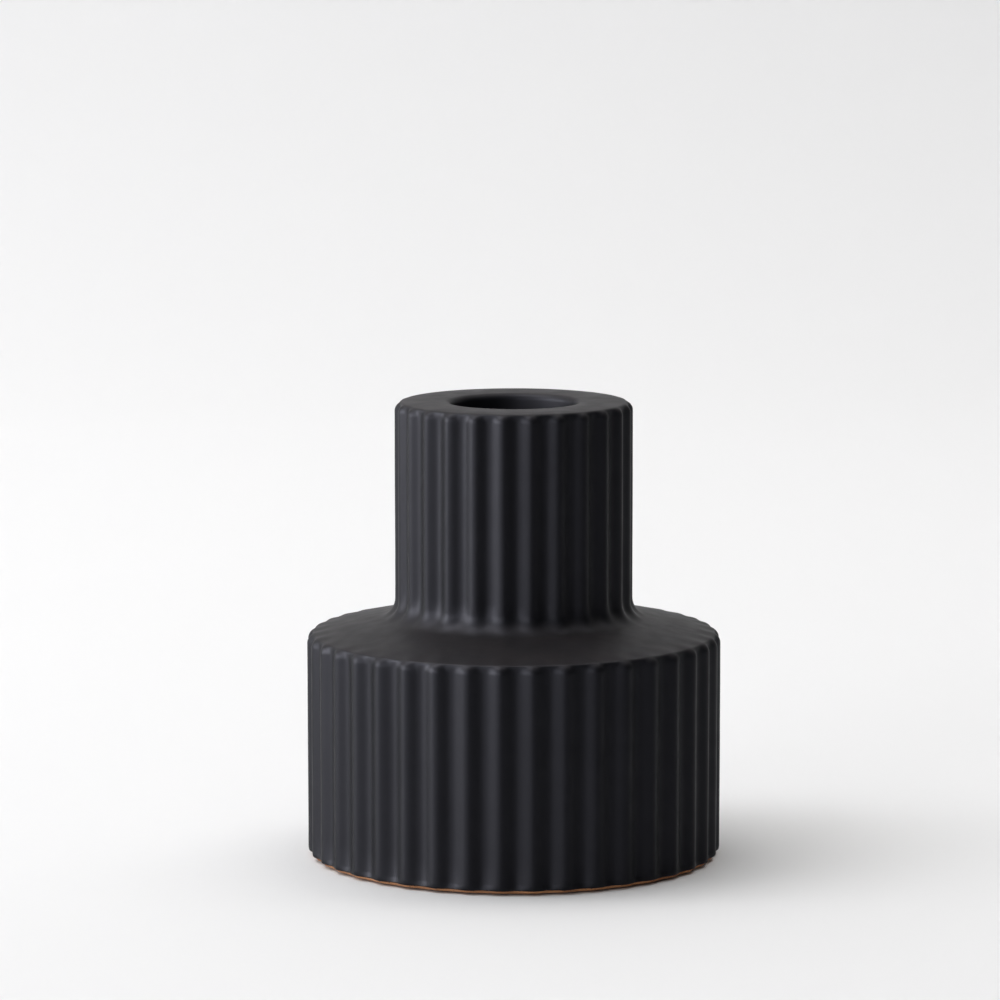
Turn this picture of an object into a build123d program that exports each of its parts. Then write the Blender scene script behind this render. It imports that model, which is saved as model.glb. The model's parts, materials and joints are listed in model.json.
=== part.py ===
from build123d import *
import math
import os

os.makedirs("parts", exist_ok=True)

# ---- driving dimensions, millimetres and degrees --------------------------------------------
# whole piece
TOTAL_HEIGHT = 82.8
PAD_PROUD = 0.3            # how far the pad stands below the clay foot
BARE_FOOT_TOP = 0.85       # height where the glaze stops
GLAZE_THICKNESS = 0.35

# drum base
BASE_RADIUS = 37.5         # over the rib crests
BASE_EDGE_Z = 40.9         # crown of the rounded shoulder edge
BASE_EDGE_ROUND = 1.9
BASE_RIBS = 40
BASE_RIB_DEPTH = 1.05
BASE_RIB_TURN = -93.9      # direction of one crest, from +X towards +Y
FOOT_ROUND_IN = 0.75
FOOT_ROUND_UP = 1.6
FOOT_RIB_FADE = 3.0        # height over which the grooves die out towards the foot
FOOT_RIB_SHARE = 0.1       # share of their depth that is left at the foot

# shoulder
SHOULDER_SLOPE = 12.5      # rise towards the neck
BASE_RIB_TIP = 2.6         # length of wall below the edge over which the grooves grow shallow
BASE_RIB_FADE = 1.0        # length of shoulder over which the last of them dies out
SEAM_MARGIN = 1.0          # plain shoulder left between the base ribs and the seam band
SEAM_BAND = 0.4            # level band that joins the base skin to the neck skin

# neck and rim
NECK_RADIUS = 21.52        # over the rib crests
NECK_FOOT_FILLET = 3.6
NECK_RIBS = 26
NECK_RIB_DEPTH = 0.95
NECK_RIB_TURN = -95.6
RIM_ROUND = 1.7
NECK_RIB_TIP = 2.0         # length of wall above the fillet over which the grooves deepen
RIM_RIB_TIP = 2.4          # length of wall below the rim over which they grow shallow

# candle socket
SOCKET_RADIUS = 11.3
SOCKET_DEPTH = 25.0
SOCKET_LIP_ROUND = 1.2
SOCKET_FLOOR_ROUND = 1.5

# hollow inside of the casting
SOCKET_FLOOR_THICKNESS = 5.0
NECK_CAVITY_RADIUS = 16.2
BASE_CAVITY_RADIUS = 31.8
BASE_CAVITY_TOP = 35.5
CAVITY_SHOULDER_Z = 40.5   # where the cavity meets the neck bore
BASE_FLOOR_THICKNESS = 5.5
CAVITY_ROUND = 4.0
POUR_HOLE_RADIUS = 15.0

# pad and its recess
PAD_RADIUS = 32.0
PAD_SIDE_GAP = 0.6
PAD_THICKNESS = 1.5
PAD_ROUND = 0.25
ADHESIVE_THICKNESS = 0.15
ADHESIVE_MARGIN = 1.0
PAD_RECESS_ROUND = 0.4

# fineness of the modelled ribs
POINTS_PER_RIB = 12
STEPS_PER_BEND = 8

SLOPE = math.radians(SHOULDER_SLOPE)


# ---- ribbed skins ---------------------------------------------------------------------------
# A station is one closed line around the casting: radius, height, the direction in which its
# ribs are sunk (radial part, upward part) and the rib depth there.

def rib_wave(share):
    """Depth of a rounded rib across one pitch: 0 on the crest, -1 in the valley."""
    return (math.cos(2 * math.pi * share) - 1) / 2


def ease(share):
    """Smooth step from 0 to 1."""
    t = min(1.0, max(0.0, share))
    return t * t * (3 - 2 * t)


def station_wire(station, ribs):
    """The part of a station's line that spans one rib, from valley to valley."""
    radius, height, outward, upward, depth = station
    half = math.pi / ribs
    points = []
    for step in range(POINTS_PER_RIB + 1):
        share = step / POINTS_PER_RIB - 0.5
        sunk = depth * rib_wave(share)
        r = radius + sunk * outward
        angle = share * 2 * half
        points.append((r * math.cos(angle), r * math.sin(angle), height + sunk * upward))
    start = (math.sin(half), math.cos(half), 0)
    end = (-math.sin(half), math.cos(half), 0)
    marks = [step / POINTS_PER_RIB for step in range(POINTS_PER_RIB + 1)]
    return Wire([Edge.make_spline(points, tangents=[start, end], parameters=marks)])


def ribbed_faces(stages, ribs, turn):
    """All the faces of a ribbed skin; a stage of two stations is straight, a longer one bends."""
    pitch_faces = []
    for stage in stages:
        wires = [station_wire(station, ribs) for station in stage]
        pitch_faces += Shell.make_loft(wires, ruled=len(stage) == 2).faces()
    around = [turn + 360 * k / ribs for k in range(ribs)]
    return [face.rotate(Axis.Z, angle) for angle in around for face in pitch_faces]


def level_wire(shell, height):
    """The open edge of a ribbed skin that lies at one height."""
    flat = 1e-4
    return Wire([e for e in shell.edges()
                 if abs(e.center().Z - height) < flat and e.bounding_box().size.Z < flat])


def bend(centre_r, centre_z, radius, start, end):
    """Points and outward directions on a rounded bend, angles measured up from the radial."""
    points = []
    for step in range(STEPS_PER_BEND + 1):
        angle = start + (end - start) * step / STEPS_PER_BEND
        c, s = math.cos(angle), math.sin(angle)
        points.append((centre_r + radius * c, centre_z + radius * s, c, s))
    return points


def run(start, end, direction):
    """Points on a straight run after its first one, all with the same outward direction."""
    points = []
    for step in range(1, STEPS_PER_BEND + 1):
        share = step / STEPS_PER_BEND
        r = start[0] + (end[0] - start[0]) * share
        z = start[1] + (end[1] - start[1]) * share
        points.append((r, z, direction[0], direction[1]))
    return points


def with_depth(points, depths):
    """Turn profile points into stations."""
    return [(*point, depth) for point, depth in zip(points, depths)]


def fading(points, full, start, fade):
    """Rib depths along a profile on which the ribs fade out from full depth: the fade is as long
    as given and was begun a length before the first point."""
    depths = []
    length = start
    last = points[0]
    for point in points:
        length += math.hypot(point[0] - last[0], point[1] - last[1])
        depths.append(full * (1 - ease(length / fade)))
        last = point
    return depths


def seam_point(inset):
    """Circle on the shoulder where the base skin ends."""
    start = shoulder_start(inset)
    length = BASE_RIB_FADE + SEAM_MARGIN
    return (start[0] - length * math.cos(SLOPE), start[1] + length * math.sin(SLOPE))


def shoulder_start(inset):
    """Outer end of the straight shoulder, where the rounded edge runs into it."""
    radius = BASE_EDGE_ROUND - inset
    return (BASE_RADIUS - BASE_EDGE_ROUND + radius * math.sin(SLOPE),
            BASE_EDGE_Z - BASE_EDGE_ROUND + radius * math.cos(SLOPE))


def fillet_centre():
    """Centre of the hollow fillet between shoulder and neck."""
    r = NECK_RADIUS + NECK_FOOT_FILLET
    start = shoulder_start(0)
    run_in = start[0] - (r - NECK_FOOT_FILLET * math.sin(SLOPE))
    z = start[1] + run_in * math.tan(SLOPE) + NECK_FOOT_FILLET * math.cos(SLOPE)
    return r, z


def foot_line(inset, low, high):
    """Stations of the rounded foot from one height to another."""
    stations = []
    for step in range(STEPS_PER_BEND + 1):
        z = low + (high - low) * step / STEPS_PER_BEND
        share = ease((z - PAD_PROUD) / FOOT_RIB_FADE)
        depth = BASE_RIB_DEPTH * (FOOT_RIB_SHARE + (1 - FOOT_RIB_SHARE) * share)
        stations.append((foot_radius(z) - inset, z, 1, 0, depth))
    return stations


def foot_radius(z):
    """Radius of the foot rounding at a height."""
    drop = max(0.0, 1 - (z - PAD_PROUD) / FOOT_ROUND_UP)
    return BASE_RADIUS - FOOT_ROUND_IN * (1 - math.sqrt(max(0.0, 1 - drop * drop)))


def base_edge(inset):
    """Points of the shoulder's rounded edge and of the shoulder as far as the seam circle."""
    centre_z = BASE_EDGE_Z - BASE_EDGE_ROUND
    radius = BASE_EDGE_ROUND - inset
    edge = bend(BASE_RADIUS - BASE_EDGE_ROUND, centre_z, radius, 0, math.pi / 2 - SLOPE)
    normal = (math.sin(SLOPE), math.cos(SLOPE))
    return edge + run(shoulder_start(inset), seam_point(inset), normal)


def wall_points(radius, low, high):
    """Points up a straight wall."""
    return [(radius, low, 1, 0)] + run((radius, low), (radius, high), (1, 0))


def base_stages(inset):
    """Stations of the base from the glaze line up to the seam circle on the shoulder."""
    lower = foot_line(inset, BARE_FOOT_TOP, PAD_PROUD + FOOT_RIB_FADE)
    wall_top = BASE_EDGE_Z - BASE_EDGE_ROUND
    tip = wall_points(BASE_RADIUS - inset, wall_top - BASE_RIB_TIP, wall_top)
    wall = [lower[-1], (*tip[0], BASE_RIB_DEPTH)]
    fade = BASE_RIB_TIP + BASE_EDGE_ROUND * (math.pi / 2 - SLOPE) + BASE_RIB_FADE
    tips = with_depth(tip, fading(tip, BASE_RIB_DEPTH, 0, fade))
    edge_depths = fading(base_edge(0), BASE_RIB_DEPTH, BASE_RIB_TIP, fade)
    return [lower, wall, tips, with_depth(base_edge(inset), edge_depths)]


def neck_foot(inset):
    """Points from the seam band over the last of the shoulder and down the fillet's hollow."""
    centre_r, centre_z = fillet_centre()
    radius = NECK_FOOT_FILLET + inset
    seam = (seam_point(inset)[0] - SEAM_BAND, seam_point(inset)[1])
    normal = (math.sin(SLOPE), math.cos(SLOPE))
    fillet_start = (centre_r - radius * normal[0], centre_z - radius * normal[1])
    plain = [(*seam, *normal)] + run(seam, fillet_start, normal)
    return plain, bend(centre_r, centre_z, -radius, math.pi / 2 - SLOPE, 0)


def rim_line(inset):
    """Points over the rounded rim as far as its flat."""
    return bend(NECK_RADIUS - RIM_ROUND, TOTAL_HEIGHT - RIM_ROUND, RIM_ROUND - inset, 0,
                math.pi / 2)


def neck_stages(inset):
    """Stations of the neck from the seam band on the shoulder to the edge of the rim's flat."""
    plain, hollow_line = neck_foot(inset)
    low, high = hollow_line[-1][1], TOTAL_HEIGHT - RIM_ROUND
    skin = NECK_RADIUS - inset
    foot_tip = wall_points(skin, low, low + NECK_RIB_TIP)
    rim_tip = wall_points(skin, high - RIM_RIB_TIP, high)
    fade = NECK_RIB_TIP + NECK_FOOT_FILLET * (math.pi / 2 - SLOPE)
    tips = with_depth(foot_tip, fading(foot_tip[::-1], NECK_RIB_DEPTH, 0, fade)[::-1])
    finished = neck_foot(0)[1][::-1]
    flare = with_depth(hollow_line, fading(finished, NECK_RIB_DEPTH, NECK_RIB_TIP, fade)[::-1])
    flare[0] = (*flare[0][:4], 0.0)
    wall = [tips[-1], (*rim_tip[0], NECK_RIB_DEPTH)]
    rim_fade = RIM_RIB_TIP + RIM_ROUND * math.pi / 2
    rim = with_depth(rim_tip, fading(rim_tip, NECK_RIB_DEPTH, 0, rim_fade))
    crown_depths = fading(rim_line(0), NECK_RIB_DEPTH, RIM_RIB_TIP, rim_fade)
    crown_depths[-1] = 0.0
    shoulder = with_depth([plain[0], plain[-1]], [0.0, 0.0])
    return [shoulder, flare, tips, wall, rim, with_depth(rim_line(inset), crown_depths)]


# ---- clay and glaze -------------------------------------------------------------------------

def full_block(inset, with_foot):
    """Ribbed base and neck as one solid block, without socket or cavity."""
    lower = base_stages(inset)
    if with_foot:
        lower = [foot_line(inset, PAD_PROUD, BARE_FOOT_TOP)] + lower
    upper = neck_stages(inset)
    base = Shell(ribbed_faces(lower, BASE_RIBS, BASE_RIB_TURN))
    neck = Shell(ribbed_faces(upper, NECK_RIBS, NECK_RIB_TURN))
    seam_height = seam_point(inset)[1]
    band = Face(level_wire(base, seam_height), [level_wire(neck, seam_height)])
    bottom = Face(level_wire(base, lower[0][0][1]))
    top = Face(level_wire(neck, upper[-1][-1][1]))
    return Solid(Shell([*base.faces(), band, *neck.faces(), bottom, top]))


def socket_cutter(inset):
    """The candle socket with its rounded lip and floor, grown by the inset."""
    radius = SOCKET_RADIUS + inset
    floor = TOTAL_HEIGHT - SOCKET_DEPTH - inset
    lip = SOCKET_LIP_ROUND - inset
    round_floor = SOCKET_FLOOR_ROUND + inset
    rim = TOTAL_HEIGHT - inset
    outline = [
        Line((0, floor), (radius - round_floor, floor)),
        RadiusArc((radius - round_floor, floor), (radius, floor + round_floor), -round_floor),
        Line((radius, floor + round_floor), (radius, rim - lip)),
        RadiusArc((radius, rim - lip), (radius + lip, rim), lip),
        Line((radius + lip, rim), (radius + lip, rim + lip)),
        Line((radius + lip, rim + lip), (0, rim + lip)),
        Line((0, rim + lip), (0, floor)),
    ]
    return revolved(outline)


def revolved(outline):
    """Turn a closed outline, drawn as (radius, height), about the vertical axis."""
    face = Plane.XZ * make_face(outline)
    return revolve(face, Axis.Z, 360)


def outline_through(points):
    """Closed outline of straight lines through (radius, height) points."""
    return [Line(a, b) for a, b in zip(points, points[1:] + points[:1])]


def hollow():
    """The hollow of the casting, from above its floor to under the socket."""
    floor = recess_roof() + BASE_FLOOR_THICKNESS
    roof = TOTAL_HEIGHT - SOCKET_DEPTH - SOCKET_FLOOR_THICKNESS
    points = [
        (0, floor),
        (BASE_CAVITY_RADIUS, floor),
        (BASE_CAVITY_RADIUS, BASE_CAVITY_TOP),
        (NECK_CAVITY_RADIUS, CAVITY_SHOULDER_Z),
        (NECK_CAVITY_RADIUS, roof),
        (0, roof),
    ]
    solid = revolved(outline_through(points))
    corners = [e for e in solid.edges() if e.geom_type == GeomType.CIRCLE]
    return fillet(corners, CAVITY_ROUND)


def recess_roof():
    """Height of the clay face that the adhesive sticks to."""
    return PAD_THICKNESS + ADHESIVE_THICKNESS


def pad_recess():
    """Round recess in the foot that takes the pad."""
    radius = PAD_RADIUS + PAD_SIDE_GAP
    slab = Cylinder(radius, recess_roof(), align=(Align.CENTER, Align.CENTER, Align.MIN))
    return fillet(slab.edges().sort_by(Axis.Z)[-1], PAD_RECESS_ROUND)


def pour_hole():
    """Hole in the floor of the casting, through which it was drained."""
    height = BASE_FLOOR_THICKNESS + recess_roof() + CAVITY_ROUND
    return Cylinder(POUR_HOLE_RADIUS, height, align=(Align.CENTER, Align.CENTER, Align.MIN))


def stoneware_body():
    """The fired casting."""
    block = full_block(GLAZE_THICKNESS, True) - socket_cutter(GLAZE_THICKNESS)
    for cutter in (hollow(), pour_hole(), pad_recess()):
        block = block - cutter
    return block


def glaze_coat():
    """The fused coat of glaze over the outside, the rim and the socket."""
    outer = full_block(0, False) - socket_cutter(0)
    inner = full_block(GLAZE_THICKNESS, False) - socket_cutter(GLAZE_THICKNESS)
    return outer - inner


def base_pad():
    """Felt disc that the piece stands on."""
    disc = Cylinder(PAD_RADIUS, PAD_THICKNESS, align=(Align.CENTER, Align.CENTER, Align.MIN))
    return fillet(disc.edges().sort_by(Axis.Z)[0], PAD_ROUND)


def pad_adhesive():
    """Double-sided film between the pad and the roof of its recess."""
    outer = Cylinder(PAD_RADIUS - ADHESIVE_MARGIN, ADHESIVE_THICKNESS,
                     align=(Align.CENTER, Align.CENTER, Align.MIN))
    inner = Cylinder(POUR_HOLE_RADIUS + ADHESIVE_MARGIN, ADHESIVE_THICKNESS,
                     align=(Align.CENTER, Align.CENTER, Align.MIN))
    return Pos(0, 0, PAD_THICKNESS) * (outer - inner)


# ---- one STEP file per piece ----------------------------------------------------------------

pieces = {
    "stoneware_body": stoneware_body(),
    "glaze_coat": glaze_coat(),
    "base_pad": base_pad(),
    "pad_adhesive": pad_adhesive(),
}
for name, piece in pieces.items():
    piece.label = name
    export_step(piece, f"parts/{name}.step")
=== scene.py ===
import math
import bpy
import bmesh
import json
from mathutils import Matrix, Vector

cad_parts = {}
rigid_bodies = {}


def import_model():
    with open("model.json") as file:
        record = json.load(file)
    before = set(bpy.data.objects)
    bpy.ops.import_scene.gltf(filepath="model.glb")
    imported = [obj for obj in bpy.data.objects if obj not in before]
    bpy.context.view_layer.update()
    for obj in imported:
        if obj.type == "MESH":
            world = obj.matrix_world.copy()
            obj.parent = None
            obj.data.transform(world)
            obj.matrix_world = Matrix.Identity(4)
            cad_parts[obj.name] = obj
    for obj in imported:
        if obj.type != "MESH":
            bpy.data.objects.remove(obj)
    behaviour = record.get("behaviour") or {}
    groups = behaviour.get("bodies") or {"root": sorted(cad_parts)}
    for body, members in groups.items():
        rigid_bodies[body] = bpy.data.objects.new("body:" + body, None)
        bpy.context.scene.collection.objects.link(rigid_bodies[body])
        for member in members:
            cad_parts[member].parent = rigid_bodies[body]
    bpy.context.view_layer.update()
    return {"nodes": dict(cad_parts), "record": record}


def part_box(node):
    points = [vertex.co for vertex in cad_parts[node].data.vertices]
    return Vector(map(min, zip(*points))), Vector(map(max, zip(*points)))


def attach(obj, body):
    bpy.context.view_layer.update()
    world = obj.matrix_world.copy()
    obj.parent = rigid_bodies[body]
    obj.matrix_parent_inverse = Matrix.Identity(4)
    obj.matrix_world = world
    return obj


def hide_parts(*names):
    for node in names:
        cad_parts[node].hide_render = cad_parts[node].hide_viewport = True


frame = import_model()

for spare in [o for o in bpy.data.objects if o.name in ("Cube", "Light", "Camera")]:
    bpy.data.objects.remove(spare)


# ---- The casting -----------------------------------------------------------------------------
# One piece of orange-buff stoneware: ribbed drum, sloping shoulder, ribbed neck and the cup of
# the candle socket. It is slip-cast in a plaster mould, drained through the hole in its floor
# and fired; the ribs are the mould's own flutes, so they are soft on every edge.
MM = 0.001
clay_low, clay_high = (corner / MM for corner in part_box("stoneware_body"))
glaze_low, glaze_high = (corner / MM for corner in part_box("glaze_coat"))
RIM_Z = glaze_high.z                          # top of the finished rim
GLAZE = glaze_high.z - clay_high.z            # thickness of the coat still to come
GLAZE_END_Z = glaze_low.z
FOOT_Z = clay_low.z
DRUM_RADIUS = max(math.hypot(v.co.x, v.co.y)
                  for v in frame["nodes"]["glaze_coat"].data.vertices) / MM
NECK_RADIUS = 21.52
SOCKET_RADIUS = frame["record"]["mounts"][0]["dims"]["r_mm"]
SOCKET_DEPTH = 25.0

DRUM_EDGE_Z, DRUM_EDGE_ROUND = 40.9, 1.9
EDGE_CENTRE_R, EDGE_CENTRE_Z = DRUM_RADIUS - DRUM_EDGE_ROUND, DRUM_EDGE_Z - DRUM_EDGE_ROUND
SHOULDER_SLOPE = math.radians(12.5)
SLOPE_OUT, SLOPE_UP = math.sin(SHOULDER_SLOPE), math.cos(SHOULDER_SLOPE)
QUARTER = math.pi / 2
SHOULDER_TURN = QUARTER - SHOULDER_SLOPE      # from facing sideways to facing up the shoulder
NECK_FILLET = 3.6
RIM_ROUND, RIM_CROWN = 1.7, 0.12
LIP_ROUND, SOCKET_FLOOR_ROUND = 1.2, 1.5
FOOT_ROUND_IN, FOOT_ROUND_UP = 0.75, 1.6

DRUM_RIBS, DRUM_RIB_DEPTH, DRUM_RIB_TURN = 40, 1.05, math.radians(-93.9)
NECK_RIBS, NECK_RIB_DEPTH, NECK_RIB_TURN = 26, 0.95, math.radians(-95.6)
GROOVE_SOFTNESS = 0.30                        # rounding where a groove leaves an edge
SHOULDER_TRACE, TRACE_REACH = 0.12, 3.4       # faint dents left above the drum's edge
NECK_FOOT_TIP = 2.0                           # fade of the grooves above the neck's fillet
FOOT_FILL, FOOT_FILL_UP = 0.4, 2.0            # share of a groove filled at the foot, its height
AROUND = DRUM_RIBS * NECK_RIBS // 2           # facets round the piece, whole on either ribbing
SIDEWAYS = (1.0, 0.0)                         # facing of an upright wall
RIB_DATA = ("rib_out", "rib_up", "drum_depth", "neck_depth")


def ease(share):
    """Smooth step from 0 to 1."""
    share = min(1.0, max(0.0, share))
    return share * share * (3 - 2 * share)


def bend(centre_r, centre_z, radius, start, end, steps):
    """A rounded part of the profile: points with the direction in which the surface faces. The
    radius is negative where the surface faces the centre."""
    turns = [start + (end - start) * k / steps for k in range(steps + 1)]
    return [(centre_r + radius * math.cos(t), centre_z + radius * math.sin(t),
             math.cos(t), math.sin(t)) for t in turns]


def run(start, end, facing, steps):
    """A straight part of the profile, after its first point."""
    return [(start[0] + (end[0] - start[0]) * k / steps, start[1] + (end[1] - start[1]) * k / steps,
             *facing) for k in range(1, steps + 1)]


def cup_line(under, fine):
    """The socket and the rim, from the middle of the socket floor to the top of the neck's wall,
    with the number of the point at which the rim begins."""
    rim_z, floor_z = RIM_Z - under, RIM_Z - SOCKET_DEPTH - under
    socket, lip, crown_round = SOCKET_RADIUS + under, LIP_ROUND - under, RIM_ROUND - under
    floor_round = SOCKET_FLOOR_ROUND + under
    line = [(0.0, floor_z, 0.0, 1.0)]
    line += run(line[0], (socket - floor_round, floor_z), (0.0, 1.0), 3)
    line += bend(socket - floor_round, floor_z + floor_round, -floor_round, QUARTER, math.pi,
                 4)[1:]

    half_rim = (NECK_RADIUS - RIM_ROUND - SOCKET_RADIUS - LIP_ROUND) / 2
    mid_rim = SOCKET_RADIUS + LIP_ROUND + half_rim
    tilt = math.atan(2 * RIM_CROWN / half_rim)
    lip_centre_z = rim_z - RIM_CROWN - lip * math.cos(tilt)
    line += run(line[-1], (socket, lip_centre_z), (-1.0, 0.0), 3 * fine)
    line += bend(socket + lip, lip_centre_z, lip, math.pi, QUARTER + tilt, 4 * fine)[1:]

    centre_r = NECK_RADIUS - RIM_ROUND
    start_r, end_r = line[-1][0], centre_r + crown_round * math.sin(tilt)
    rim_start, steps = len(line), 4 * fine
    for k in range(1, steps + 1):
        r = start_r + (end_r - start_r) * k / steps
        lean = (r - mid_rim) / half_rim
        line.append((r, rim_z - RIM_CROWN * lean * lean, math.sin(tilt * lean),
                     math.cos(tilt * lean)))
    centre_z = line[-1][1] - crown_round * math.cos(tilt)
    line += bend(centre_r, centre_z, crown_round, QUARTER - tilt, 0.0, 7 * fine)[1:]
    return line, rim_start


def neck_line(start, under, fine):
    """The neck's wall and the fillet at its foot, from a point down to the shoulder."""
    fillet_r = NECK_RADIUS + NECK_FILLET
    outer_r = EDGE_CENTRE_R + DRUM_EDGE_ROUND * SLOPE_OUT
    outer_z = EDGE_CENTRE_Z + DRUM_EDGE_ROUND * SLOPE_UP
    fillet_z = (outer_z + (outer_r - fillet_r + NECK_FILLET * SLOPE_OUT) * math.tan(SHOULDER_SLOPE)
                + NECK_FILLET * SLOPE_UP)
    line = [start]
    for end_z, steps in ((fillet_z + NECK_FOOT_TIP, 4), (fillet_z, 3)):
        line += run(line[-1], (NECK_RADIUS - under, end_z), SIDEWAYS, steps * fine)
    line += bend(fillet_r, fillet_z, -(NECK_FILLET + under), 0.0, SHOULDER_TURN, 6 * fine)[1:]
    return line[1:]


def shoulder_line(start, under, fine):
    """The shoulder from the neck's fillet to the drum's edge, in two stretches: plain, and with
    the faint dents of the grooves."""
    facing, edge_round = (SLOPE_OUT, SLOPE_UP), DRUM_EDGE_ROUND - under
    edge = (EDGE_CENTRE_R + edge_round * SLOPE_OUT, EDGE_CENTRE_Z + edge_round * SLOPE_UP)
    dents = (edge[0] - TRACE_REACH * SLOPE_UP, edge[1] + TRACE_REACH * SLOPE_OUT)
    return run(start, dents, facing, 4 * fine), run(dents, edge, facing, 3 * fine)


def drum_line(under, fine):
    """The rounded edge and the wall of the drum, down to the glaze line at the foot."""
    line = bend(EDGE_CENTRE_R, EDGE_CENTRE_Z, DRUM_EDGE_ROUND - under, SHOULDER_TURN, 0.0,
                8 * fine)[1:]
    foot_top, steps = FOOT_Z + FOOT_ROUND_UP, 5 * fine
    line += run(line[-1], (DRUM_RADIUS - under, foot_top), SIDEWAYS, steps)
    for k in range(1, steps + 1):
        z = foot_top + (GLAZE_END_Z - foot_top) * k / steps
        line.append((foot_radius(z) - under, z, *SIDEWAYS))
    return line


def lengths_along(points, under):
    """Length of the finished profile up to each point, which lies the given depth under it."""
    length, last, lengths = 0.0, None, []
    for r, z, out, up in points:
        here = (r + under * out, z + under * up)
        length += math.dist(here, last or here)
        lengths.append(length)
        last = here
    return lengths


def groove_end(out, edge_round, depth, trace=0.0):
    """Depth of an upright groove square to the rounded edge it runs out over, where the surface
    faces outward by the given share; past its end only the trace is left."""
    over = edge_round - (edge_round - depth) / max(out, 0.1) - trace
    return trace + (over + math.hypot(over, GROOVE_SOFTNESS)) / 2


def foot_drop(z):
    """How far the rounding at the foot draws the ribs in, at a height."""
    drop = min(1.0, max(0.0, 1 - (z - FOOT_Z) / FOOT_ROUND_UP))
    return FOOT_ROUND_IN * (1 - math.sqrt(1 - drop * drop))


def foot_groove(depth, z):
    """What is left near the foot of a groove of the given depth: it stays nearly upright where
    the ribs are drawn in, and is partly filled."""
    return (depth - foot_drop(z)) * (1 - FOOT_FILL * (1 - ease((z - FOOT_Z) / FOOT_FILL_UP)))


def foot_radius(z):
    """Finished radius of the ribs near the foot, at a height."""
    return DRUM_RADIUS - foot_drop(z)


def mould_line(skin, fine):
    """The outside of the piece from the middle of the socket floor to the glaze line at the
    foot, with the skin laid on the clay in millimetres; fine sets the number of steps. Each row
    holds a point, its facing and the depth of the drum's and the neck's grooves there."""
    under = GLAZE - skin                      # how far this line lies below the finished surface
    line, rim_start = cup_line(under, fine)
    wall_top = len(line) - 1
    line += neck_line(line[-1], under, fine)
    fillet_end = len(line) - 1
    plain, dented = shoulder_line(line[-1], under, fine)
    line += plain
    dents = len(line) - 1
    line += dented + drum_line(under, fine)

    lengths = lengths_along(line, under)
    fillet_fade = NECK_FILLET * SHOULDER_TURN + NECK_FOOT_TIP
    rows = []
    for k, (r, z, out, up) in enumerate(line):
        drum = 0.0
        neck = NECK_RIB_DEPTH * ease((lengths[fillet_end] - lengths[k]) / fillet_fade)
        if k <= wall_top:
            neck = groove_end(out, RIM_ROUND, NECK_RIB_DEPTH) if k > rim_start else 0.0
        if k > dents:
            trace = SHOULDER_TRACE * ease((lengths[k] - lengths[dents]) / TRACE_REACH)
            drum = foot_groove(groove_end(out, DRUM_EDGE_ROUND, DRUM_RIB_DEPTH, trace), z)
        rows.append((r, z, out, up, drum, neck))
    return rows


def blank(name, rows):
    """Spin a profile that begins and ends on the axis into a closed shell, with the rib data of
    its rows kept as attributes for the fluting."""
    points, data, rings = [], [], []
    for r, z, out, up, drum, neck in rows:
        count = 1 if r < 1e-9 else AROUND
        rings.append(range(len(points), len(points) + count))
        for k in range(count):
            angle = 2 * math.pi * k / AROUND
            points.append((r * MM * math.cos(angle), r * MM * math.sin(angle), z * MM))
            data.append((out, up, drum * MM, neck * MM))
    faces = []
    for ring, lower in zip(rings, rings[1:]):
        for k in range(AROUND):
            after = (k + 1) % AROUND
            if len(ring) == 1:
                faces.append((ring[0], lower[k], lower[after]))
            elif len(lower) == 1:
                faces.append((ring[k], lower[0], ring[after]))
            else:
                faces.append((ring[k], lower[k], lower[after], ring[after]))
    mesh = bpy.data.meshes.new(name)
    mesh.from_pydata(points, [], faces)
    for column, label in enumerate(RIB_DATA):
        layer = mesh.attributes.new(label, "FLOAT", "POINT")
        layer.data.foreach_set("value", [row[column] for row in data])
    shell = bmesh.new()
    shell.from_mesh(mesh)
    bmesh.ops.recalc_face_normals(shell, faces=shell.faces)
    shell.to_mesh(mesh)
    shell.free()
    piece = bpy.data.objects.new(name, mesh)
    bpy.context.scene.collection.objects.link(piece)
    return piece


class Wiring:
    """Adds nodes to a tree and joins them: a value that is a socket is linked, any other is set."""

    def __init__(self, tree):
        self.tree = tree

    def add(self, kind, inputs=(), out=0, **settings):
        node = self.tree.nodes.new(kind)
        for key, value in settings.items():
            setattr(node, key, value)
        for key, value in (inputs.items() if isinstance(inputs, dict) else enumerate(inputs)):
            if isinstance(value, bpy.types.NodeSocket):
                self.tree.links.new(value, node.inputs[key])
            else:
                node.inputs[key].default_value = value
        return node.outputs[out]

    def calc(self, kind, *inputs):
        """One step of arithmetic, such as ADD or MULTIPLY."""
        return self.add("ShaderNodeMath", inputs, operation=kind)


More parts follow.
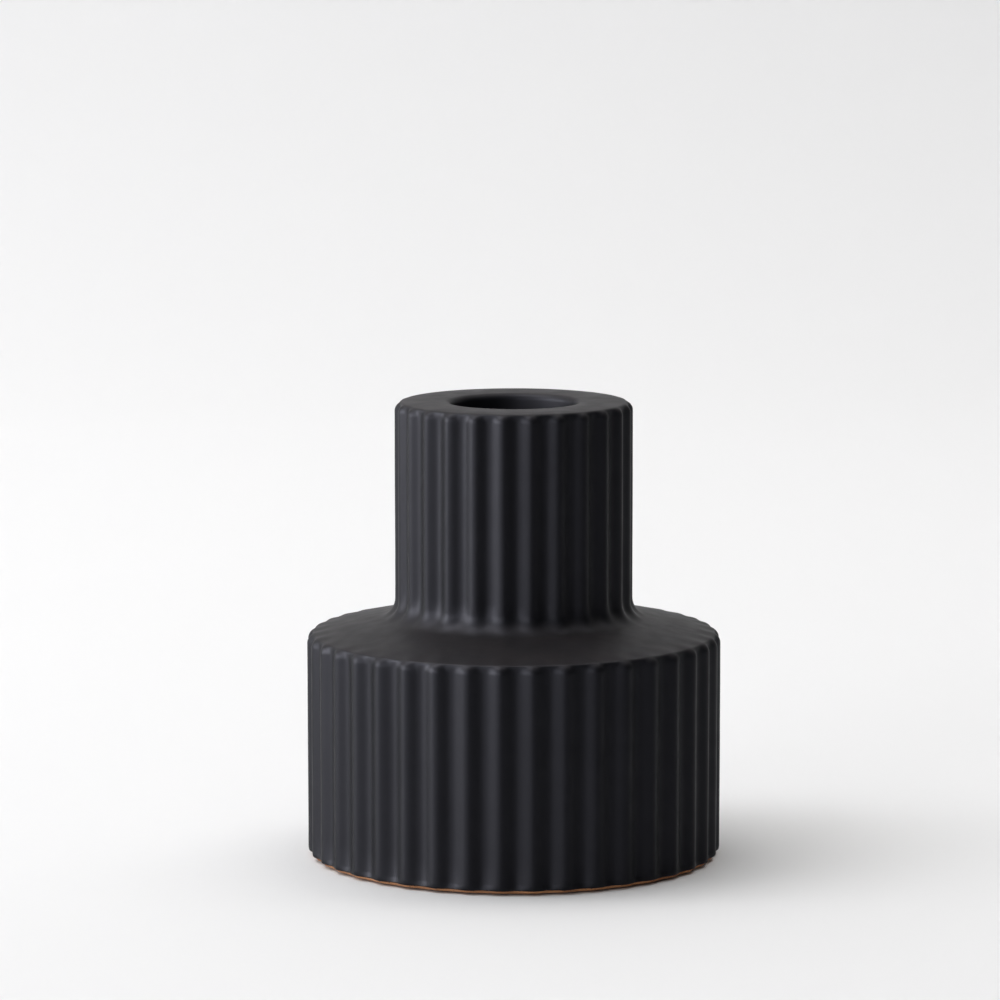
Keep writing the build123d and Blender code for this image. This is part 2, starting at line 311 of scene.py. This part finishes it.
def fluting_tree():
    """The flutes of the mould as Geometry Nodes: every point of the blank is sunk by a rounded
    wave of its direction round the axis, deepest between two ribs."""
    tree = bpy.data.node_groups.new("fluting", "GeometryNodeTree")
    face = tree.interface
    face.new_socket("Blank", in_out="INPUT", socket_type="NodeSocketGeometry")
    for label in ("Drum ribs", "Drum turn", "Neck ribs", "Neck turn", "Rib narrowness",
                  "Hand of the maker", "Waviness scale"):
        face.new_socket(label, in_out="INPUT", socket_type="NodeSocketFloat")
    face.new_socket("Material", in_out="INPUT", socket_type="NodeSocketMaterial")
    face.new_socket("Fluted", in_out="OUTPUT", socket_type="NodeSocketGeometry")
    w = Wiring(tree)
    given = tree.nodes.new("NodeGroupInput").outputs
    place = w.add("GeometryNodeInputPosition")
    apart = tree.nodes.new("ShaderNodeSeparateXYZ")
    tree.links.new(place, apart.inputs[0])
    angle = w.calc("ARCTAN2", apart.outputs[1], apart.outputs[0])
    sunk = []
    for ribs, turn, depth in (("Drum ribs", "Drum turn", "drum_depth"),
                              ("Neck ribs", "Neck turn", "neck_depth")):
        phase = w.calc("MULTIPLY", w.calc("SUBTRACT", angle, given[turn]), given[ribs])
        crest = w.calc("MULTIPLY_ADD", w.calc("COSINE", phase), 0.5, 0.5)
        crest = w.calc("POWER", w.calc("MAXIMUM", crest, 0.0), given["Rib narrowness"])
        depth = w.add("GeometryNodeInputNamedAttribute", {"Name": depth}, data_type="FLOAT")
        sunk.append(w.calc("MULTIPLY", w.calc("SUBTRACT", crest, 1.0), depth))
    sink = w.calc("ADD", *sunk)
    noise = w.add("ShaderNodeTexNoise", {"Vector": place, "Scale": given["Waviness scale"],
                                         "Detail": 1.0}, noise_dimensions="3D")
    out = w.add("GeometryNodeInputNamedAttribute", {"Name": "rib_out"}, data_type="FLOAT")
    up = w.add("GeometryNodeInputNamedAttribute", {"Name": "rib_up"}, data_type="FLOAT")
    uneven = w.calc("MULTIPLY", w.calc("MULTIPLY", noise, given["Hand of the maker"]), -1.0)
    outward = w.calc("MULTIPLY_ADD", sink, out, w.calc("MULTIPLY", uneven, out))
    shift = w.add("ShaderNodeCombineXYZ", (w.calc("MULTIPLY", outward, w.calc("COSINE", angle)),
                                           w.calc("MULTIPLY", outward, w.calc("SINE", angle)),
                                           w.calc("MULTIPLY", sink, up)))
    moved = w.add("GeometryNodeSetPosition", {"Geometry": given["Blank"], "Offset": shift})
    smooth = w.add("GeometryNodeSetShadeSmooth", {"Geometry": moved, "Shade Smooth": True})
    real = w.add("GeometryNodeRealizeInstances", {"Geometry": smooth})
    dressed = w.add("GeometryNodeSetMaterial", {"Geometry": real, "Material": given["Material"]})
    tree.links.new(dressed, tree.nodes.new("NodeGroupOutput").inputs[0])
    return tree


def flute(piece, tree, material, **sizes):
    """Run the fluting on a blank and keep the result as a plain mesh."""
    cutter = piece.modifiers.new("fluting", "NODES")
    cutter.node_group = tree
    wanted = {label.replace("_", " "): value for label, value in sizes.items()}
    for item in tree.interface.items_tree:
        if item.in_out == "INPUT" and item.name in wanted:
            cutter[item.identifier] = wanted[item.name]
        if item.in_out == "INPUT" and item.name == "Material":
            cutter[item.identifier] = material
    depsgraph = bpy.context.evaluated_depsgraph_get()
    made = bpy.data.meshes.new_from_object(piece.evaluated_get(depsgraph))
    piece.modifiers.remove(cutter)
    blank_mesh, piece.data = piece.data, made
    bpy.data.meshes.remove(blank_mesh)
    made.name = piece.name
    for label in RIB_DATA:
        made.attributes.remove(made.attributes[label])
    return piece


def new_finish(name):
    """An empty material with its wiring and its Principled shader."""
    material = bpy.data.materials.new(name)
    material.use_nodes = True
    tree = material.node_tree
    shader = tree.nodes["Principled BSDF"]
    return material, Wiring(tree), shader


def grain(w, size_mm, detail=2.0, stretch=(1.0, 1.0, 1.0)):
    """Noise in the object's own coordinates, with blotches of about the given size."""
    place = w.add("ShaderNodeTexCoord", out=3)
    place = w.add("ShaderNodeMapping", {"Vector": place, "Scale": stretch})
    return w.add("ShaderNodeTexNoise", {"Vector": place, "Scale": 1 / (size_mm * MM),
                                        "Detail": detail})


def between(w, share, low, high, from_low=0.35, from_high=0.65):
    """Map a pattern from one range to another, held at its ends."""
    return w.add("ShaderNodeMapRange", (share, from_low, from_high, low, high))


def tint(w, share, first, second):
    """Mix two colours by a pattern."""
    return w.add("ShaderNodeMix", {0: share, 6: (*first, 1.0), 7: (*second, 1.0)}, out=2,
                 data_type="RGBA")


def bare_clay():
    """Fired orange-buff stoneware: sandy, a little toasted, with dark and pale grog."""
    material, w, shader = new_finish("bare_clay")
    toast = between(w, grain(w, 7.0, 3.0), 0.0, 1.0)
    body = tint(w, toast, (0.50, 0.235, 0.105), (0.36, 0.155, 0.068))
    specks = between(w, grain(w, 0.5, 1.0), 0.0, 1.0, 0.62, 0.72)
    mix = w.add("ShaderNodeMix", {0: specks, 6: body, 7: (0.16, 0.075, 0.04, 1.0)}, out=2,
                data_type="RGBA")
    w.tree.links.new(mix, shader.inputs["Base Color"])
    w.tree.links.new(between(w, grain(w, 1.2), 0.78, 0.95), shader.inputs["Roughness"])
    shader.inputs["Specular IOR Level"].default_value = 0.3
    sand = w.add("ShaderNodeBump", {"Strength": 0.6, "Distance": 0.08 * MM,
                                    "Height": grain(w, 0.35, 3.0)})
    w.tree.links.new(sand, shader.inputs["Normal"])
    return material


PAD_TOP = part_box("base_pad")[1].z / MM
FILM_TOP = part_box("pad_adhesive")[1].z / MM
PAD_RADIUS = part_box("base_pad")[1].x / MM
RECESS_RADIUS, POUR_HOLE = PAD_RADIUS + 0.6, 15.0
HOLLOW_FLOOR, HOLLOW_RADIUS, HOLLOW_TOP = 5.5, 31.8, 35.5
NECK_HOLLOW, NECK_HOLLOW_Z, SOCKET_WALL = 16.2, 40.5, 5.0


def fettled(points, soft):
    """Profile rows through corner points, each corner rubbed down with the sponge."""
    rows = []
    for k, here in enumerate(points):
        before, after = points[max(k - 1, 0)], points[min(k + 1, len(points) - 1)]
        if before is here or after is here:
            rows.append((*here, 0.0, 0.0, 0.0, 0.0))
            continue
        reach = [min(soft, math.dist(here, near) * 0.45) / math.dist(here, near)
                 for near in (before, after)]
        a = [here[i] + (before[i] - here[i]) * reach[0] for i in (0, 1)]
        b = [here[i] + (after[i] - here[i]) * reach[1] for i in (0, 1)]
        for step in range(5):
            t = step / 4
            rows.append(tuple((1 - t) ** 2 * a[i] + 2 * t * (1 - t) * here[i] + t * t * b[i]
                              for i in (0, 1)) + (0.0, 0.0, 0.0, 0.0))
    return rows


def casting_line():
    """Closed profile of the casting: its outside, the bare foot, the recess for the pad and the
    hollow that the slip was drained from."""
    rows = mould_line(0.0, 1)
    soft = 0.12                               # the foot's outer edge is rubbed down this far
    for k in range(1, 4):
        z = GLAZE_END_Z + (FOOT_Z + soft - GLAZE_END_Z) * k / 3
        rows.append((foot_radius(z) - GLAZE, z, 1.0, 0.0, foot_groove(DRUM_RIB_DEPTH, z), 0.0))
    foot_r = foot_radius(FOOT_Z) - GLAZE
    for share in (0.3, 0.7, 1.0):
        rows.append((foot_r - 0.15 * share, FOOT_Z + soft * (1 - share) ** 2, 1.0, 0.0,
                     foot_groove(DRUM_RIB_DEPTH, FOOT_Z), 0.0))
    rows.append((foot_r - 1.2, FOOT_Z, 1.0, 0.0, 0.0, 0.0))
    hollow_z = FILM_TOP + HOLLOW_FLOOR
    roof_z = RIM_Z - SOCKET_DEPTH - SOCKET_WALL
    inside = [(RECESS_RADIUS + 0.6, FOOT_Z), (RECESS_RADIUS, FOOT_Z), (RECESS_RADIUS, FILM_TOP),
              (POUR_HOLE, FILM_TOP), (POUR_HOLE, hollow_z), (HOLLOW_RADIUS, hollow_z),
              (HOLLOW_RADIUS, HOLLOW_TOP), (NECK_HOLLOW, NECK_HOLLOW_Z),
              (NECK_HOLLOW, roof_z), (0.0, roof_z)]
    near_foot = fettled(inside[:4], 0.35)[1:-1]
    rest = fettled(inside[3:], 4.0)[1:]
    rest[0:5] = fettled(inside[3:6], 0.8)[1:-1]
    return rows + near_foot + rest


fluting = fluting_tree()
rib_sizes = {"Drum_ribs": float(DRUM_RIBS), "Drum_turn": DRUM_RIB_TURN,
             "Neck_ribs": float(NECK_RIBS), "Neck_turn": NECK_RIB_TURN, "Rib_narrowness": 1.08,
             "Hand_of_the_maker": 0.10 * MM, "Waviness_scale": 1 / (14 * MM)}
casting = flute(blank("fired_casting", casting_line()), fluting, bare_clay(), **rib_sizes)
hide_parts("stoneware_body")
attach(casting, "root")


# ---- The glaze -------------------------------------------------------------------------------
# A satin-matte black glaze, sprayed on after the first firing and fused in the second. It coats
# It coats the outside, the rim and the socket and is wiped back from the foot. Where it faces up its
# colour is painted a lighter, warmer brown-grey: a painted reflection of the room.

def glaze_line():
    """Closed profile of the coat: its surface, the soft bead at the wiped line, its underside."""
    surface = mould_line(GLAZE, 2)
    last = surface[-1]
    bead_top = 0.16
    surface[-1] = (last[0], last[1] + bead_top, *last[2:])
    bead = [(last[0] - GLAZE * back, last[1] + rise, *last[2:])
            for back, rise in ((0.03, 0.08), (0.14, 0.025), (0.4, 0.0))]
    underside = mould_line(0.0, 1)[::-1]
    return surface + bead + underside


def black_glaze():
    """Satin black with a fine orange-peel skin, cloudy in gloss, with a painted warm reflection
    where it faces up.
    """
    material, w, shader = new_finish("satin_black_glaze")
    facing = w.add("ShaderNodeNewGeometry", out=1)
    level = w.tree.nodes.new("ShaderNodeSeparateXYZ")
    w.tree.links.new(facing, level.inputs[0])
    level = between(w, level.outputs[2], 0.0, 1.0, 0.35, 0.95)
    clouds = grain(w, 6.0, 3.0)
    deep = tint(w, between(w, clouds, 0.0, 1.0), (0.0034, 0.0036, 0.0046), (0.0046, 0.0048, 0.0060))
    # painted reflection: faces that look up get a lighter, warmer brown-grey colour
    painted_warm_reflection = tint(w, between(w, clouds, 0.0, 1.0), (0.011, 0.0095, 0.0098), (0.014, 0.0115, 0.0115))
    body = w.add("ShaderNodeMix", {0: level, 6: deep, 7: painted_warm_reflection}, out=2, data_type="RGBA")
    w.tree.links.new(body, shader.inputs["Base Color"])
    rough = w.calc("ADD", between(w, grain(w, 3.5, 3.0), 0.47, 0.53),
                   w.calc("MULTIPLY", level, 0.01))
    w.tree.links.new(rough, shader.inputs["Roughness"])
    shader.inputs["Specular IOR Level"].default_value = 0.15
    shader.inputs["Specular Tint"].default_value = (0.86, 0.86, 1.0, 1.0)
    peel = w.add("ShaderNodeBump", {"Strength": 0.25, "Distance": 0.02 * MM,
                                    "Height": grain(w, 1.1, 1.0)})
    skin = w.add("ShaderNodeBump", {"Strength": 0.2, "Distance": 0.008 * MM,
                                    "Height": grain(w, 0.25, 2.0), "Normal": peel})
    w.tree.links.new(skin, shader.inputs["Normal"])
    return material


glaze = flute(blank("glaze_skin", glaze_line()), fluting, black_glaze(), **rib_sizes)
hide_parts("glaze_coat")
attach(glaze, "root")


# ---- The pad and its film --------------------------------------------------------------------
# A disc punched from dark pressed felt, held in the recess of the foot by a ring of double-sided
# film. It stands a hair below the clay, so that the fired foot never touches the table.

def felt():
    """Dark pressed felt: matted fibres, slightly paler where they stand up."""
    material, w, shader = new_finish("dark_felt")
    fibres = grain(w, 0.35, 4.0, (1.0, 3.5, 1.0))
    cross = grain(w, 0.35, 4.0, (3.5, 1.0, 1.0))
    mat = w.calc("MULTIPLY", w.calc("ADD", fibres, cross), 0.5)
    colour = tint(w, between(w, mat, 0.0, 1.0, 0.4, 0.62), (0.018, 0.018, 0.02), (0.06, 0.06, 0.063))
    w.tree.links.new(colour, shader.inputs["Base Color"])
    shader.inputs["Roughness"].default_value = 0.95
    shader.inputs["Sheen Weight"].default_value = 0.25
    shader.inputs["Specular IOR Level"].default_value = 0.2
    nap = w.add("ShaderNodeBump", {"Strength": 0.8, "Distance": 0.12 * MM, "Height": mat})
    w.tree.links.new(nap, shader.inputs["Normal"])
    return material


def film():
    """Milky double-sided tape, slightly rippled."""
    material, w, shader = new_finish("milky_film")
    colour = tint(w, between(w, grain(w, 5.0), 0.0, 1.0), (0.72, 0.68, 0.56), (0.80, 0.77, 0.68))
    w.tree.links.new(colour, shader.inputs["Base Color"])
    w.tree.links.new(between(w, grain(w, 2.0), 0.3, 0.45), shader.inputs["Roughness"])
    ripple = w.add("ShaderNodeBump", {"Strength": 0.3, "Distance": 0.02 * MM,
                                      "Height": grain(w, 4.0)})
    w.tree.links.new(ripple, shader.inputs["Normal"])
    return material


def disc_line(radius, low, high, soft):
    """Profile of a flat disc with a slightly crushed edge."""
    corners = [(0.0, high), (radius * 0.5, high), (radius, high), (radius, low),
               (radius * 0.5, low), (0.0, low)]
    return fettled(corners, soft)


PAD_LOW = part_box("base_pad")[0].z / MM
pad = blank("felt_pad", disc_line(PAD_RADIUS, PAD_LOW, PAD_TOP, 0.25))
for label in RIB_DATA:
    pad.data.attributes.remove(pad.data.attributes[label])
pad.data.shade_smooth()
pad.data.materials.append(felt())
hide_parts("base_pad")
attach(pad, "root")

tape = frame["nodes"]["pad_adhesive"]
tape.material_slots[0].material = film()


# ---- Floor, light and camera -----------------------------------------------------------------
# A pale sweep of matt board that curves up behind the piece. The room is lit by two soft ceilings
# and by daylight from windows at the left, high and far off; four strips and a panel that only
# show in the glaze draw the highlights along the ribs.

def sweep():
    """The board as a bent sheet, wide enough to fill every view."""
    back, bend_radius, wide, high, front = 0.62, 0.25, 3.0, 2.2, -2.4
    line = [(front, 0.0)] + [(back + bend_radius * math.sin(t), bend_radius * (1 - math.cos(t)))
                             for t in (math.pi / 2 * k / 24 for k in range(25))]
    line.append((back + bend_radius, high))
    mesh = bpy.data.meshes.new("sweep")
    points = [(x, y, z) for y, z in line for x in (-wide, wide)]
    faces = [(2 * k, 2 * k + 1, 2 * k + 3, 2 * k + 2) for k in range(len(line) - 1)]
    mesh.from_pydata(points, [], faces)
    mesh.shade_smooth()
    board = bpy.data.objects.new("sweep", mesh)
    bpy.context.scene.collection.objects.link(board)
    material, _, shader = new_finish("matt_board")
    shader.inputs["Base Color"].default_value = (0.86, 0.86, 0.86, 1.0)
    shader.inputs["Roughness"].default_value = 0.9
    shader.inputs["Specular IOR Level"].default_value = 0.2
    mesh.materials.append(material)
    return board


def soft_light(name, power, size, place, aim, colour, glossy_only=False):
    """A rectangular lamp that looks at a point; a glossy one only shows in the glaze."""
    lamp = bpy.data.lights.new(name, "AREA")
    lamp.shape, lamp.size, lamp.size_y = "RECTANGLE", size[0], size[1]
    lamp.energy, lamp.color = power, colour
    holder = bpy.data.objects.new(name, lamp)
    holder.location = place
    toward = [b - a for a, b in zip(place, aim)]
    flat = math.hypot(toward[0], toward[1])
    holder.rotation_euler = (math.atan2(flat, -toward[2]), 0.0,
                             math.atan2(toward[1], toward[0]) - math.pi / 2)
    holder.visible_diffuse = not glossy_only
    bpy.context.scene.collection.objects.link(holder)


LOOK_AT = (0.0, 0.0, 0.05)
DAYLIGHT, LAMPLIGHT = (0.97, 0.975, 1.0), (1.0, 0.99, 0.98)


def round_the_table(turn, reach, height):
    """A place at an angle from the camera's side: minus is to its left, plus to its right."""
    return (reach * math.sin(math.radians(turn)), -reach * math.cos(math.radians(turn)), height)


sweep()
# the room itself
soft_light("ceiling", 11.3, (2.4, 2.4), (0.0, -0.2, 1.9), LOOK_AT, LAMPLIGHT)
soft_light("ceiling_back", 10.2, (2.4, 0.6), (0.0, 0.35, 1.5), LOOK_AT, LAMPLIGHT)
soft_light("high_window", 10.0, (0.9, 0.9), round_the_table(-80, 1.1, 1.3), LOOK_AT, DAYLIGHT)
soft_light("far_window", 7.5, (1.0, 1.0), round_the_table(-100, 2.0, 0.6), LOOK_AT, DAYLIGHT)
soft_light("far_front", 8.2, (1.0, 1.0), round_the_table(-40, 2.0, 0.6), LOOK_AT, DAYLIGHT)
# what only shows in the glaze
for turn, power in ((-20, 4.6), (-45, 1.8), (-65, 8.5), (-85, 13.5)):
    soft_light(f"sheen{turn}", power, (0.35, 0.5), round_the_table(turn, 1.0, 0.28), LOOK_AT,
               DAYLIGHT, glossy_only=True)
soft_light("sheen_above", 10.0, (0.6, 0.6), (-0.4, -0.15, 1.1), LOOK_AT, DAYLIGHT,
           glossy_only=True)

world = bpy.data.worlds.new("room")
bpy.context.scene.world = world
world.use_nodes = True
background = world.node_tree.nodes["Background"].inputs
background["Color"].default_value = (1.0, 1.0, 1.0, 1.0)
background["Strength"].default_value = 0.05
bpy.context.scene.view_settings.view_transform = "Standard"

CAMERA_SIDE, CAMERA_BACK, CAMERA_UP = -0.0025, 0.8242, 0.1806
CAMERA_PITCH = math.radians(8.006)
lens = bpy.data.cameras.new("camera")
lens.sensor_width, lens.lens = 36.0, 166.0
lens.clip_start = 0.05
camera = bpy.data.objects.new("camera", lens)
camera.location = (CAMERA_SIDE, -CAMERA_BACK, CAMERA_UP)
camera.rotation_euler = (QUARTER - CAMERA_PITCH, 0.0, 0.0)
bpy.context.scene.collection.objects.link(camera)
bpy.context.scene.camera = camera

import json
